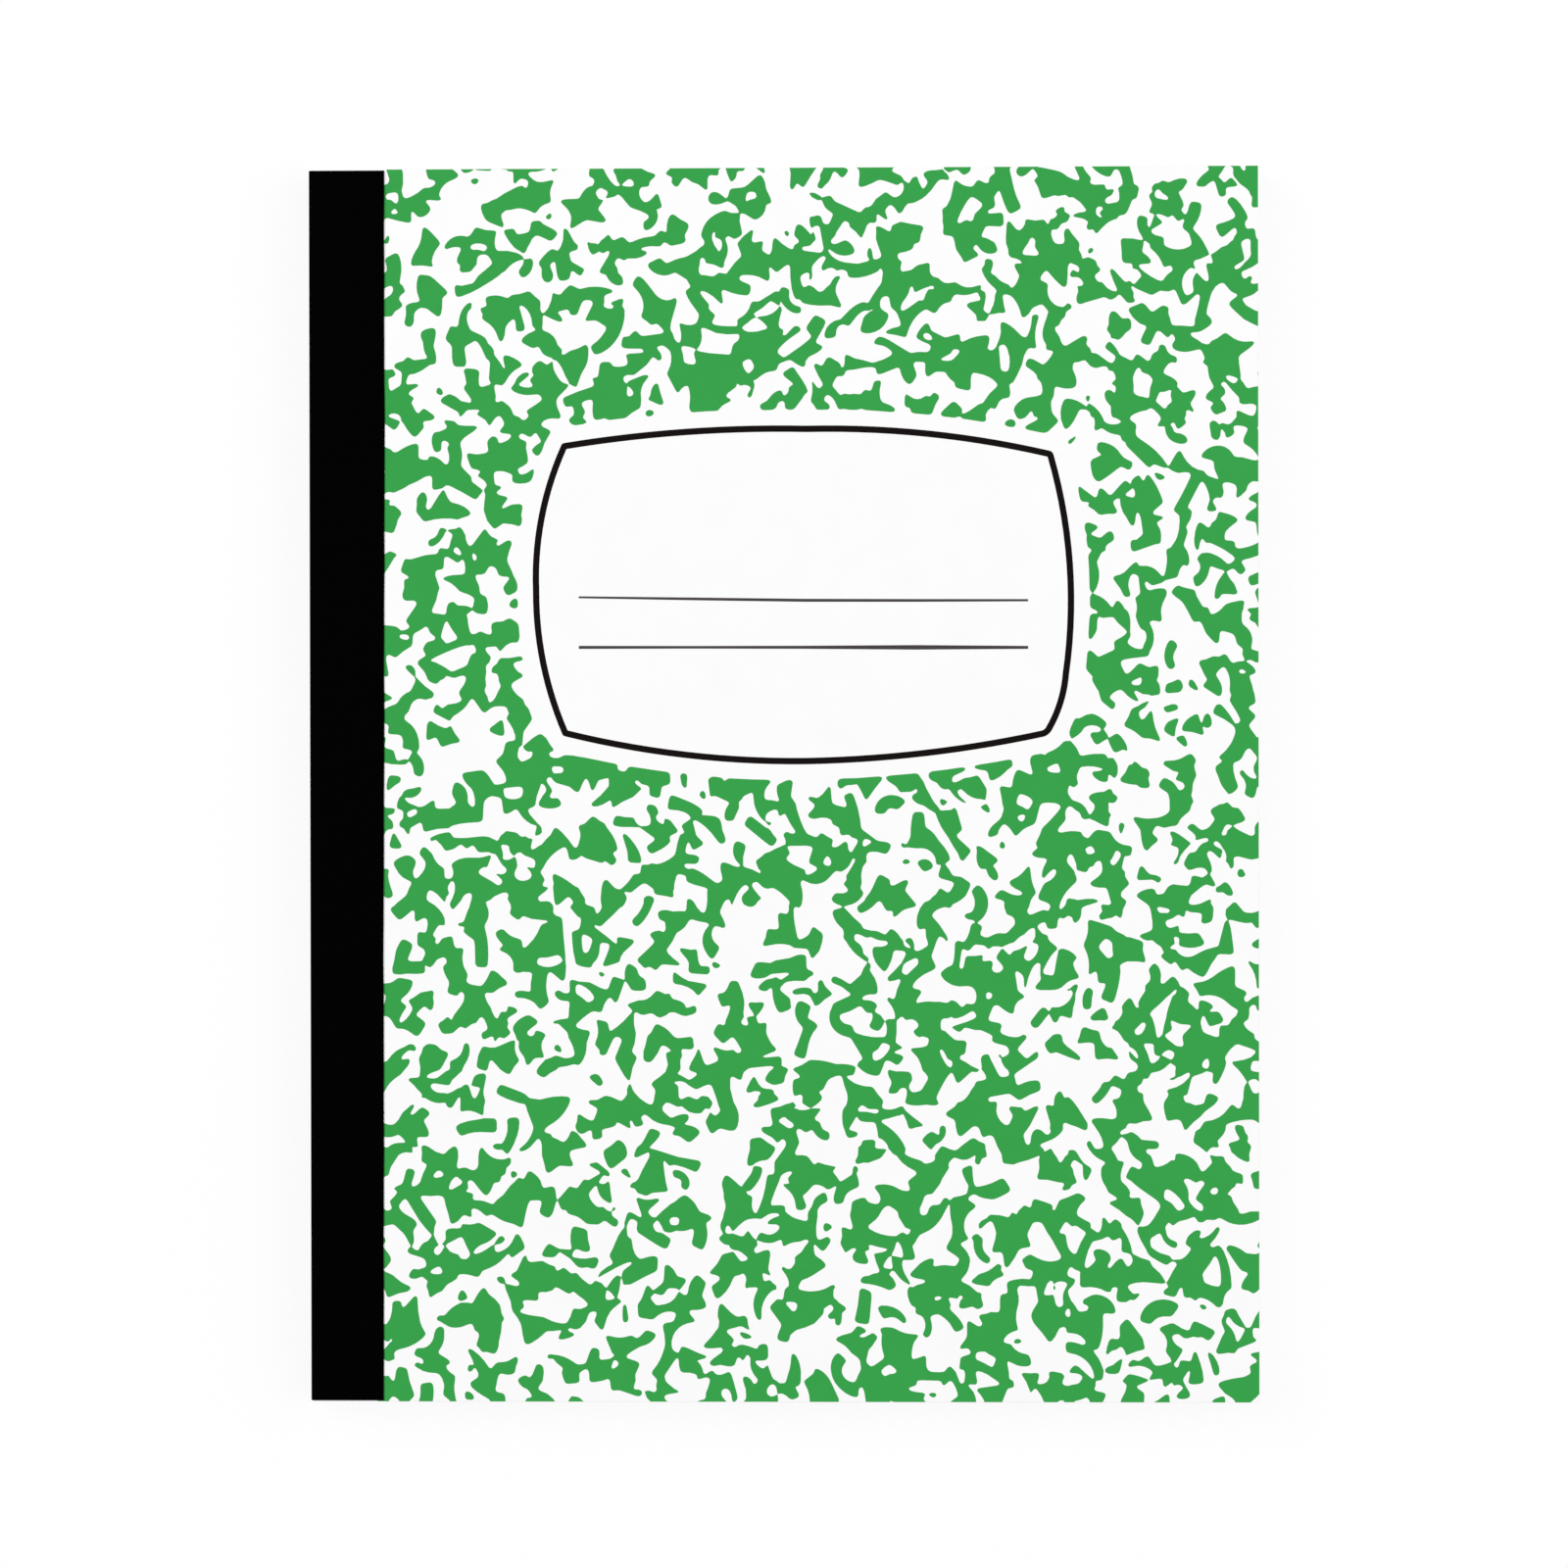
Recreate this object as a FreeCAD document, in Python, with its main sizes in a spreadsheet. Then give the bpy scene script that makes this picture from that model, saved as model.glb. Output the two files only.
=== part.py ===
import FreeCAD, Part
import os
import Sketcher

# A composition notebook, closed and lying on its rear cover.
# X runs from the spine to the fore-edge, Y from the tail to the head and Z up through the covers.
# The origin is the middle of the underside.

# Driving dimensions in millimetres, apart from the count of leaves.
SIZES = [
    ("overall_height", 247.0, "head to tail, also the height of the boards and leaves"),
    ("overall_width", 190.0, "outside of the spine tape to the fore-edge"),
    ("board_thickness", 1.1, "one cover board with its papers"),
    ("board_round", 0.8, "rounding of a board's outer edge at the spine"),
    ("leaf_count", 100, "leaves, two to each folded sheet"),
    ("leaf_thickness", 0.085, "one leaf, pressed"),
    ("fold_round", 1.2, "rounding of the outermost fold"),
    ("tape_thickness", 0.25, "spine tape with its glue"),
    ("tape_flap", 14.7, "outside of the spine to the tape's edge on a cover"),
    ("tape_setback", 0.2, "tape's end to the end of the boards"),
    ("flap_gap", 0.1, "tape's edge to the end of its pressed seat in the board"),
    ("bend_ease", 0.15, "how much tighter the tape bends than the board's rounding"),
    ("thread_diameter", 0.6, "sewing thread"),
    ("thread_gap", 0.05, "thread to its channel, all round"),
    ("stitch_pitch", 9.5, "one needle hole to the next"),
    ("stitch_margin", 8.0, "tail to the first needle hole"),
]

doc = FreeCAD.newDocument("composition_notebook")
sheet = doc.addObject("Spreadsheet::Sheet", "Sizes")
for row, (alias, value, meaning) in enumerate(SIZES, start=1):
    sheet.set(f"A{row}", str(value))
    sheet.setAlias(f"A{row}", alias)
    sheet.set(f"B{row}", f"'{meaning}")
doc.recompute()

# Derived sizes, each written once and used in the expressions below.
BLOCK_THICKNESS = "(Sizes.leaf_count * Sizes.leaf_thickness)"
TOTAL_THICKNESS = f"({BLOCK_THICKNESS} + 2 * Sizes.board_thickness)"
SPINE_X = "(-Sizes.overall_width / 2)"
FOLD_X = f"({SPINE_X} + Sizes.tape_thickness)"
BODY_WIDTH = "(Sizes.overall_width - Sizes.tape_thickness)"
MIDDLE_Z = f"({TOTAL_THICKNESS} / 2)"
TAPE_LENGTH = "(Sizes.overall_height - 2 * Sizes.tape_setback)"
SEAT_WIDTH = "(Sizes.tape_flap - Sizes.tape_thickness + Sizes.flap_gap)"
THREAD_RADIUS = "(Sizes.thread_diameter / 2)"
CHANNEL_RADIUS = f"({THREAD_RADIUS} + Sizes.thread_gap)"
CHANNEL_WIDTH = f"(2 * {CHANNEL_RADIUS})"
CENTRE_FOLD = f"({BLOCK_THICKNESS} / 2)"
FIRST_STITCH = "(Sizes.stitch_margin - Sizes.overall_height / 2)"
STITCHES = "floor((Sizes.overall_height - 2 * Sizes.stitch_margin) / Sizes.stitch_pitch) + 1"


def value_of(expression):
    """Number that an expression on the sheet stands for."""
    return float(sheet.evalExpression(expression))


def new_body(label, x="0", z="0"):
    """Body whose own origin lies at x, z on the notebook's middle line."""
    body = doc.addObject("PartDesign::Body", label)
    body.Label = label
    body.setExpression(".Placement.Base.x", x)
    body.setExpression(".Placement.Base.z", z)
    return body


def origin_part(body, role):
    """Plane or axis of the body's own origin."""
    return next(part for part in body.Origin.OriginFeatures if part.Role == role)


def new_sketch(body, name, role):
    """Empty sketch on one of the body's origin planes."""
    sketch = body.newObject("Sketcher::SketchObject", name)
    sketch.AttachmentSupport = [(origin_part(body, role), "")]
    sketch.MapMode = "FlatFace"
    return sketch


def pin(sketch, geometry, point, across, up, prefix):
    """Hold one point of a sketch at two expressions from the sketch's origin."""
    for kind, expression in (("DistanceX", across), ("DistanceY", up)):
        number = sketch.addConstraint(
            Sketcher.Constraint(kind, -1, 1, geometry, point, value_of(expression)))
        name = f"{prefix}_{kind[-1]}"
        sketch.renameConstraint(number, name)
        sketch.setExpression(f"Constraints.{name}", expression)


def draw_outline(sketch, corners):
    """Closed outline of straight lines through corners given as pairs of expressions."""
    places = [FreeCAD.Vector(value_of(across), value_of(up), 0) for across, up in corners]
    first = sketch.GeometryCount
    for index, place in enumerate(places):
        sketch.addGeometry(Part.LineSegment(place, places[(index + 1) % len(places)]), False)
    for index, (across, up) in enumerate(corners):
        following = first + (index + 1) % len(corners)
        sketch.addConstraint(Sketcher.Constraint("Coincident", first + index, 2, following, 1))
        pin(sketch, first + index, 1, across, up, f"corner_{first + index}")


def draw_circle(sketch, across, up, radius):
    """Circle whose centre and radius are expressions."""
    centre = FreeCAD.Vector(value_of(across), value_of(up), 0)
    number = sketch.addGeometry(
        Part.Circle(centre, FreeCAD.Vector(0, 0, 1), value_of(radius)), False)
    pin(sketch, number, 3, across, up, f"centre_{number}")
    constraint = sketch.addConstraint(Sketcher.Constraint("Radius", number, value_of(radius)))
    sketch.renameConstraint(constraint, f"radius_{number}")
    sketch.setExpression(f"Constraints.radius_{number}", radius)


def pad(body, sketch, name, length, both_ways=True):
    """Pad a sketch along its normal, to both sides of its plane or to one."""
    feature = body.newObject("PartDesign::Pad", name)
    feature.Profile = sketch
    feature.SideType = "Symmetric" if both_ways else "One side"
    feature.setExpression("Length", length)
    body.Tip = feature
    doc.recompute()
    return feature


def pocket(body, sketch, name, length, both_ways=True):
    """Cut a sketch out along its normal and make sure that it cut."""
    before = body.Shape.Volume
    feature = body.newObject("PartDesign::Pocket", name)
    feature.Profile = sketch
    feature.SideType = "Symmetric" if both_ways else "One side"
    feature.Reversed = not both_ways
    feature.setExpression("Length", length)
    body.Tip = feature
    doc.recompute()
    if body.Shape.Volume >= before:
        raise RuntimeError(f"{name} cuts nothing")
    return feature


def edges_along_y(shape, x, z):
    """Names of the edges that run along Y through x, z in the body's own frame."""
    close = 1e-4
    names = []
    for number, edge in enumerate(shape.Edges, start=1):
        ends = [vertex.Point for vertex in edge.Vertexes]
        if len(ends) == 2 and all(abs(p.x - x) < close and abs(p.z - z) < close for p in ends):
            names.append(f"Edge{number}")
    return names


def round_edges(body, name, places, radius):
    """Round the edges along Y that pass through places given as pairs of expressions."""
    base = body.Tip
    names = []
    for x, z in places:
        found = edges_along_y(base.Shape, value_of(x), value_of(z))
        if not found:
            raise RuntimeError(f"{name} finds no edge at {x}, {z}")
        names += found
    feature = body.newObject("PartDesign::Fillet", name)
    feature.Base = (base, names)
    feature.setExpression("Radius", radius)
    body.Tip = feature
    doc.recompute()
    return feature


def repeat_stitches(body, feature):
    """Repeat a needle hole or the thread in it along the fold."""
    pattern = body.newObject("PartDesign::LinearPattern", f"{feature.Label}_row")
    pattern.Originals = [feature]
    pattern.Direction = (origin_part(body, "Y_Axis"), [""])
    pattern.Mode = "Spacing"
    pattern.setExpression("Offset", "Sizes.stitch_pitch")
    pattern.setExpression("Occurrences", STITCHES)
    body.Tip = pattern
    doc.recompute()
    return pattern


def needle_sketch(body, name, radius):
    """Circle of the first stitch, on the plane of the fold."""
    sketch = new_sketch(body, name, "YZ_Plane")
    draw_circle(sketch, FIRST_STITCH, "0", radius)
    return sketch


def make_page_block():
    """Folded leaves pressed into one block, with the channels that the seam has sunk into them."""
    body = new_body("page_block", FOLD_X, MIDDLE_Z)
    half = f"({BLOCK_THICKNESS} / 2)"
    section = new_sketch(body, "block_section", "XZ_Plane")
    draw_outline(section, [("0", f"-{half}"), (BODY_WIDTH, f"-{half}"),
                           (BODY_WIDTH, half), ("0", half)])
    pad(body, section, "block", "Sizes.overall_height")
    round_edges(body, "folds", [("0", f"-{half}"), ("0", half)], "Sizes.fold_round")

    groove = new_sketch(body, "outer_channel_section", "XZ_Plane")
    draw_outline(groove, [(f"-{CHANNEL_WIDTH}", f"-{CHANNEL_RADIUS}"),
                          (CHANNEL_WIDTH, f"-{CHANNEL_RADIUS}"),
                          (CHANNEL_WIDTH, CHANNEL_RADIUS),
                          (f"-{CHANNEL_WIDTH}", CHANNEL_RADIUS)])
    pocket(body, groove, "outer_channel", "Sizes.overall_height + 2 * Sizes.tape_setback")
    centre = new_sketch(body, "inner_channel_section", "XZ_Plane")
    draw_circle(centre, CENTRE_FOLD, "0", CHANNEL_RADIUS)
    pocket(body, centre, "inner_channel", "Sizes.overall_height + 2 * Sizes.tape_setback")
    hole = pocket(body, needle_sketch(body, "needle_hole_section", CHANNEL_RADIUS),
                  "needle_hole", CENTRE_FOLD, both_ways=False)
    repeat_stitches(body, hole)
    return body


def make_binding_thread():
    """Two runs of thread, outside and inside the fold, drawn together through each needle hole."""
    body = new_body("binding_thread", FOLD_X, MIDDLE_Z)
    outer = new_sketch(body, "outer_run_section", "XZ_Plane")
    draw_circle(outer, CHANNEL_RADIUS, "0", THREAD_RADIUS)
    pad(body, outer, "outer_run", "Sizes.overall_height")
    stitch = needle_sketch(body, "stitch_section", THREAD_RADIUS)
    stitch.setExpression(".AttachmentOffset.Base.z", CHANNEL_RADIUS)
    leg = pad(body, stitch, "stitch", f"{CENTRE_FOLD} - {CHANNEL_RADIUS}", both_ways=False)
    repeat_stitches(body, leg)
    inner = new_sketch(body, "inner_run_section", "XZ_Plane")
    draw_circle(inner, CENTRE_FOLD, "0", THREAD_RADIUS)
    pad(body, inner, "inner_run", "Sizes.overall_height")
    return body


def make_cover(label, z):
    """Board lying on the leaves, with the seat that the tape is pressed into along the spine."""
    body = new_body(label, FOLD_X, z)
    seat = "(Sizes.board_thickness - Sizes.tape_thickness)"
    section = new_sketch(body, f"{label}_section", "XZ_Plane")
    draw_outline(section, [("0", "0"), (BODY_WIDTH, "0"), (BODY_WIDTH, "Sizes.board_thickness"),
                           (SEAT_WIDTH, "Sizes.board_thickness"), (SEAT_WIDTH, seat), ("0", seat)])
    pad(body, section, f"{label}_board", "Sizes.overall_height")
    round_edges(body, f"{label}_spine_edge", [("0", seat)], "Sizes.board_round")
    return body


def make_spine_tape():
    """One strip folded round the spine, its flaps flush with the outside of both boards."""
    body = new_body("spine_tape", SPINE_X, MIDDLE_Z)
    outside = f"({TOTAL_THICKNESS} / 2)"
    inside = f"({outside} - Sizes.tape_thickness)"
    thickness = "Sizes.tape_thickness"
    section = new_sketch(body, "tape_section", "XZ_Plane")
    draw_outline(section, [("0", f"-{outside}"), ("Sizes.tape_flap", f"-{outside}"),
                           ("Sizes.tape_flap", f"-{inside}"), (thickness, f"-{inside}"),
                           (thickness, inside), ("Sizes.tape_flap", inside),
                           ("Sizes.tape_flap", outside), ("0", outside)])
    pad(body, section, "strip", TAPE_LENGTH)
    bend = "(Sizes.board_round - Sizes.bend_ease)"
    round_edges(body, "inner_bends", [(thickness, f"-{inside}"), (thickness, inside)], bend)
    round_edges(body, "outer_bends", [("0", f"-{outside}"), ("0", outside)],
                f"{bend} + Sizes.tape_thickness")
    return body


bodies = [
    make_page_block(),
    make_binding_thread(),
    make_cover("front_cover", f"{TOTAL_THICKNESS} - Sizes.board_thickness"),
    make_cover("rear_cover", "Sizes.board_thickness"),
    make_spine_tape(),
]

# The rear board is the front one turned over about its inner face.
bodies[3].Placement.Rotation = FreeCAD.Rotation(FreeCAD.Vector(1, 0, 0), 180)
doc.recompute()

for item in doc.Objects:
    if "Invalid" in item.State or "Error" in item.State:
        raise RuntimeError(f"{item.Label} failed: {item.State}")
for body in bodies:
    if body.Shape.isNull() or not body.Shape.isValid():
        raise RuntimeError(f"{body.Label} has no valid shape")
    if len(body.Shape.Solids) != 1:
        raise RuntimeError(f"{body.Label} is {len(body.Shape.Solids)} solids")

os.makedirs("parts", exist_ok=True)
for body in bodies:
    body.Shape.exportStep(f"parts/{body.Label}.step")
    box = body.Shape.BoundBox
    print(f"{body.Label}: volume {body.Shape.Volume:.1f} mm3,"
          f" x {box.XMin:.2f} to {box.XMax:.2f},"
          f" y {box.YMin:.2f} to {box.YMax:.2f}, z {box.ZMin:.2f} to {box.ZMax:.2f}")
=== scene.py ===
"""Dressed model of a closed composition notebook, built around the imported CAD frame.

Sizes and outlines are millimetres in the frame of the CAD. Meshes, the camera and the lamps are in
metres, and MM turns the one into the other.
"""
from __future__ import annotations

import logging
import math
import sys
from dataclasses import dataclass, field
from enum import Enum, auto

import bpy
import numpy as np
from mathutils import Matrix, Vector
from mathutils.geometry import delaunay_2d_cdt

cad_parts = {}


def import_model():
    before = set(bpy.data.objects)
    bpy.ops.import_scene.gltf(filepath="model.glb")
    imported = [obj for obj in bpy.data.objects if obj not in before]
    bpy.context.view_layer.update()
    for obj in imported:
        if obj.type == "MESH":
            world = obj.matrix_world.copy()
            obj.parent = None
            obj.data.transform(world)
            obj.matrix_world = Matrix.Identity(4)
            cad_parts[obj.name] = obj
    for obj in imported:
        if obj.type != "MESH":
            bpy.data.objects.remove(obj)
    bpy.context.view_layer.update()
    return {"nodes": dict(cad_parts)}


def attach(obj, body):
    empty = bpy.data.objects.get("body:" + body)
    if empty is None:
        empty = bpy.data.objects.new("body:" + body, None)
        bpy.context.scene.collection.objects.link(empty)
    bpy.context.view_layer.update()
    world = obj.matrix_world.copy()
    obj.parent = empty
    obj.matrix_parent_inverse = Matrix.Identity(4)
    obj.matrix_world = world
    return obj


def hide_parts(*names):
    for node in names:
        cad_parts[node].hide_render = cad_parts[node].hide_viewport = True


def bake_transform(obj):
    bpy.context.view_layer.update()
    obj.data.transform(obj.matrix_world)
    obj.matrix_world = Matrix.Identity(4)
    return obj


log = logging.getLogger("notebook")

MM = 0.001

# Overall sizes of the notebook, as the CAD has them. Boards and leaves start at FOLD_X, under the tape.
SPINE_X = -95.0
FORE_EDGE_X = 95.0
HALF_HEIGHT = 123.5
TOTAL_THICKNESS = 10.7
BOARD_THICKNESS = 1.1
TAPE_THICKNESS = 0.25
FOLD_X = SPINE_X + TAPE_THICKNESS

# The tape lies a little askew, as in the photo: its seat in a board ends at SEAT_EDGE_X half way from
# the tail to the head, and TAPE_SLANT farther out for each millimetre towards the head of the front.
SEAT_EDGE_X = -79.79
TAPE_SLANT = 0.00274


def linear(red: float, green: float, blue: float) -> tuple[float, float, float]:
    """Turn a colour as a screen shows it into the linear values that a shader takes.

    Args:
        red: Red, 0 to 255.
        green: Green, 0 to 255.
        blue: Blue, 0 to 255.

    Returns:
        The three linear values, 0 to 1.
    """
    def one(value: float) -> float:
        """Linear value of one channel."""
        share = value / 255
        return share / 12.92 if share <= 0.04045 else ((share + 0.055) / 1.055) ** 2.4
    return one(red), one(green), one(blue)


class NodeTree:
    """Node tree of a material or of the sky, with a short way to add nodes and join them."""

    def __init__(self, owner: bpy.types.Material | bpy.types.World) -> None:
        """Start on the tree of a new material or sky.

        Args:
            owner: The material or the sky.
        """
        owner.use_nodes = True
        self.owner = owner
        self.tree = owner.node_tree

    def add(self, kind: str, settings: dict | None = None, **inputs: object) -> bpy.types.Node:
        """Add a node.

        Args:
            kind: Blender's type name, without ShaderNode.
            settings: Values of the node's own properties.
            inputs: Values or sockets for its inputs, with _ for a space in the name.

        Returns:
            The node.
        """
        node = self.tree.nodes.new("ShaderNode" + kind)
        for key, value in (settings or {}).items():
            setattr(node, key, value)
        for key, value in inputs.items():
            self.put(node, key.replace("_", " "), value)
        return node

    def put(self, node: bpy.types.Node, name: str | int, value: object) -> None:
        """Give an input a value, or join a socket to it.

        Args:
            node: The node.
            name: Name or number of its input.
            value: A plain value, or an output socket of another node.
        """
        socket = node.inputs[name]
        if isinstance(value, bpy.types.NodeSocket):
            self.tree.links.new(value, socket)
        else:
            socket.default_value = value

    def place(self) -> bpy.types.NodeSocket:
        """Point on the surface in the piece's own space."""
        return self.add("TexCoord").outputs["Object"]

    def noise(self, vector: bpy.types.NodeSocket, scale: float, detail: float) -> bpy.types.NodeSocket:
        """Noise from 0 to 1.

        Args:
            vector: Where it is read.
            scale: Bumps to a unit of the vector.
            detail: How many finer layers it has.

        Returns:
            The value.
        """
        return self.add("TexNoise", Vector=vector, Scale=scale, Detail=detail).outputs["Fac"]

    def between(self, factor: bpy.types.NodeSocket, low: float, high: float, start: float = 0.3,
                end: float = 0.7) -> bpy.types.NodeSocket:
        """Spread a value, such as a noise, over a range.

        Args:
            factor: The value.
            low: Result where the value is at its start or below.
            high: Result where the value is at its end or above.
            start: Where the value starts to count.
            end: Where it stops.

        Returns:
            The spread value.
        """
        return self.add("MapRange", Value=factor, From_Min=start, From_Max=end, To_Min=low,
                        To_Max=high).outputs["Result"]

    def tinted(self, factor: bpy.types.NodeSocket, dark: tuple[float, ...],
               light: tuple[float, ...]) -> bpy.types.NodeSocket:
        """Colour between two, by a factor.

        Args:
            factor: 0 for the dark one, 1 for the light one.
            dark: First linear colour.
            light: Second linear colour.

        Returns:
            The colour.
        """
        # The sockets for colours share their names with others, so they go by number.
        mix = self.add("Mix", {"data_type": "RGBA"})
        self.put(mix, 0, factor)
        self.put(mix, 6, (*dark, 1.0))
        self.put(mix, 7, (*light, 1.0))
        return mix.outputs[2]

    def calculated(self, operation: str, *values: object) -> bpy.types.NodeSocket:
        """Work out a value from others.

        Args:
            operation: Blender's name of what is done.
            values: Plain values or sockets, in the order of the node's inputs.

        Returns:
            The result.
        """
        node = self.add("Math", {"operation": operation})
        for number, value in enumerate(values):
            self.put(node, number, value)
        return node.outputs["Value"]

    def shows_background(self) -> bpy.types.NodeSocket:
        """Find the rays that show the background itself, directly, in gloss or through glass.

        Returns:
            1 for those rays, 0 for all others.
        """
        path = self.add("LightPath").outputs
        unseen = self.calculated("MAXIMUM", path["Is Glossy Ray"], path["Is Transmission Ray"])
        return self.calculated("MAXIMUM", path["Is Camera Ray"], unseen)

    def finished(self, colour: bpy.types.NodeSocket, roughness: object, gloss: float,
                 height: bpy.types.NodeSocket, distance: float) -> bpy.types.Material:
        """Set the shader of a finish, with the relief of its surface.

        Args:
            colour: Its colour.
            roughness: Its roughness, a plain value or a socket.
            gloss: Its specular level.
            height: Its relief, 0 to 1.
            distance: Metres that a height of 1 stands for.

        Returns:
            The material.
        """
        bump = self.add("Bump", Height=height, Distance=distance, Strength=1.0)
        shader = self.tree.nodes["Principled BSDF"]
        self.put(shader, "Base Color", colour)
        self.put(shader, "Roughness", roughness)
        self.put(shader, "Specular IOR Level", gloss)
        self.put(shader, "Normal", bump.outputs["Normal"])
        return self.owner


@dataclass(frozen=True)
class PaperFinish:
    """Paper, bare or printed: one colour with the faint cloud and tooth of its fibres."""

    name: str
    colour: tuple[float, float, float]
    cloud: float = 0.015
    clouds_per_metre: float = 160.0
    roughness: float = 0.62
    unevenness: float = 0.05
    gloss: float = 0.2
    tooth: float = 0.000004
    fibre_pitch: float = 0.0006

    def make(self) -> bpy.types.Material:
        """Build the material.

        Returns:
            The material.
        """
        nodes = NodeTree(bpy.data.materials.new(self.name))
        place = nodes.place()
        clouds = nodes.between(nodes.noise(place, self.clouds_per_metre, 3.0), 0.0, 1.0)
        deep = tuple(value * (1 - self.cloud) for value in self.colour)
        colour = nodes.tinted(clouds, deep, self.colour)
        fibre = nodes.noise(place, 1 / self.fibre_pitch, 4.0)
        roughness = nodes.between(fibre, self.roughness - self.unevenness, self.roughness + self.unevenness)
        return nodes.finished(colour, roughness, self.gloss, fibre, self.tooth)


@dataclass(frozen=True)
class CoreFinish:
    """Cut edge of a grey board: pressed layers of short fibres."""

    name: str = "board_core"
    dark: tuple[float, float, float] = linear(150, 143, 131)
    light: tuple[float, float, float] = linear(196, 190, 178)
    layer_pitch: float = 0.00018
    layer_stretch: tuple[float, float, float] = (0.12, 0.12, 1.0)
    fibres_per_metre: float = 6000.0
    fibre_height: float = 0.00003
    roughness: float = 0.85
    gloss: float = 0.2

    def make(self) -> bpy.types.Material:
        """Build the material.

        Returns:
            The material.
        """
        nodes = NodeTree(bpy.data.materials.new(self.name))
        place = nodes.place()
        stretched = nodes.add("Mapping", Vector=place, Scale=self.layer_stretch).outputs["Vector"]
        layers = nodes.between(nodes.noise(stretched, 1 / self.layer_pitch, 3.0), 0.0, 1.0)
        fibre = nodes.noise(place, self.fibres_per_metre, 5.0)
        colour = nodes.tinted(layers, self.dark, self.light)
        return nodes.finished(colour, self.roughness, self.gloss, fibre, self.fibre_height)


@dataclass(frozen=True)
class TapeFinish:
    """Black bookbinding tape: a fine pressed grain under a thin coat, both laid out in millimetres."""

    name: str = "black_binding_tape"
    dark: tuple[float, float, float] = (0.0002, 0.0002, 0.0002)
    light: tuple[float, float, float] = (0.0006, 0.0006, 0.0006)
    grain_pitch: float = 0.55
    grain_softness: float = 0.6
    grain_height: float = 0.00003
    coat_pitch: float = 0.2
    coat_share: float = 0.45
    roughness: tuple[float, float] = (0.42, 0.58)
    gloss: float = 0.006

    def make(self) -> bpy.types.Material:
        """Build the material. It follows the UV map, which is in millimetres.

        Returns:
            The material.
        """
        nodes = NodeTree(bpy.data.materials.new(self.name))
        along = nodes.add("UVMap", {"uv_map": "UVMap"}).outputs["UV"]
        grain = nodes.add("TexVoronoi", {"feature": "SMOOTH_F1"}, Vector=along,
                          Scale=1 / self.grain_pitch, Smoothness=self.grain_softness)
        coat = nodes.noise(along, 1 / self.coat_pitch, 3.0)
        height = nodes.calculated("MULTIPLY_ADD", coat, self.coat_share, grain.outputs["Distance"])
        colour = nodes.tinted(nodes.between(coat, 0.0, 1.0), self.dark, self.light)
        roughness = nodes.between(coat, *self.roughness)
        return nodes.finished(colour, roughness, self.gloss, height, self.grain_height)


@dataclass(frozen=True)
class ThreadFinish:
    """White cotton thread with its twist, with painted shade in the grooves of the twist."""

    name: str = "cotton_thread"
    dark: tuple[float, float, float] = linear(214, 212, 204)
    light: tuple[float, float, float] = linear(246, 245, 240)
    twist_scale: float = 281.8
    twist_waver: float = 0.6
    twist_height: float = 0.00006
    roughness: float = 0.8
    gloss: float = 0.25

    def make(self) -> bpy.types.Material:
        """Build the material.

        Returns:
            The material.
        """
        nodes = NodeTree(bpy.data.materials.new(self.name))
        wave = nodes.add("TexWave", {"bands_direction": "DIAGONAL"}, Vector=nodes.place(),
                         Scale=self.twist_scale, Distortion=self.twist_waver, Detail=1.0)
        twist = wave.outputs["Fac"]
        # The colour follows the twist's relief: darker in its grooves, which is painted shade.
        colour = nodes.tinted(twist, self.dark, self.light)
        return nodes.finished(colour, self.roughness, self.gloss, twist, self.twist_height)


class Finishes:
    """Every material of the notebook, made once."""

    def __init__(self) -> None:
        """Build the materials."""
        self.cover_white = PaperFinish("cover_paper", (0.955, 0.96, 0.955)).make()
        self.cover_green = PaperFinish("green_ink", linear(47, 158, 69), cloud=0.04).make()
        self.frame_black = PaperFinish("black_ink", linear(12, 6, 5), cloud=0.1, gloss=0.06).make()
        self.line_grey = PaperFinish("line_ink", linear(62, 56, 58), cloud=0.1).make()
        self.lining = PaperFinish("lining_paper", (0.90, 0.90, 0.885), roughness=0.75,
                                  tooth=0.000008).make()
        self.core = CoreFinish().make()
        self.leaf = PaperFinish("writing_paper", (0.90, 0.90, 0.88), roughness=0.8, gloss=0.15,
                                tooth=0.00001, fibre_pitch=0.0004).make()
        self.rule_blue = PaperFinish("rule_blue", linear(142, 178, 214), roughness=0.8).make()
        self.margin_red = PaperFinish("margin_red", linear(226, 132, 140), roughness=0.8).make()
        self.tape = TapeFinish().make()
        self.thread = ThreadFinish().make()


def make_piece(name: str, points: np.ndarray, faces: list[tuple[int, ...]],
               finishes: list[bpy.types.Material], kinds: list[Enum] | None = None) -> bpy.types.Object:
    """Make a mesh object from outlines in millimetres.

    Args:
        name: Name of the piece.
        points: One row of x, y, z to a vertex.
        faces: Vertex numbers of each face.
        finishes: Its materials.
        kinds: What covers each face. Its value is the number of its finish, and the first one covers
            all faces where this is left out.

    Returns:
        The object, linked to the scene.
    """
    mesh = bpy.data.meshes.new(name)
    mesh.from_pydata((points * MM).tolist(), [], faces)
    for finish in finishes:
        mesh.materials.append(finish)
    if kinds:
        numbers = np.array([kind.value for kind in kinds], np.int32)
        mesh.polygons.foreach_set("material_index", numbers)
    mesh.update()
    piece = bpy.data.objects.new(name, mesh)
    bpy.context.scene.collection.objects.link(piece)
    return piece


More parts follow.
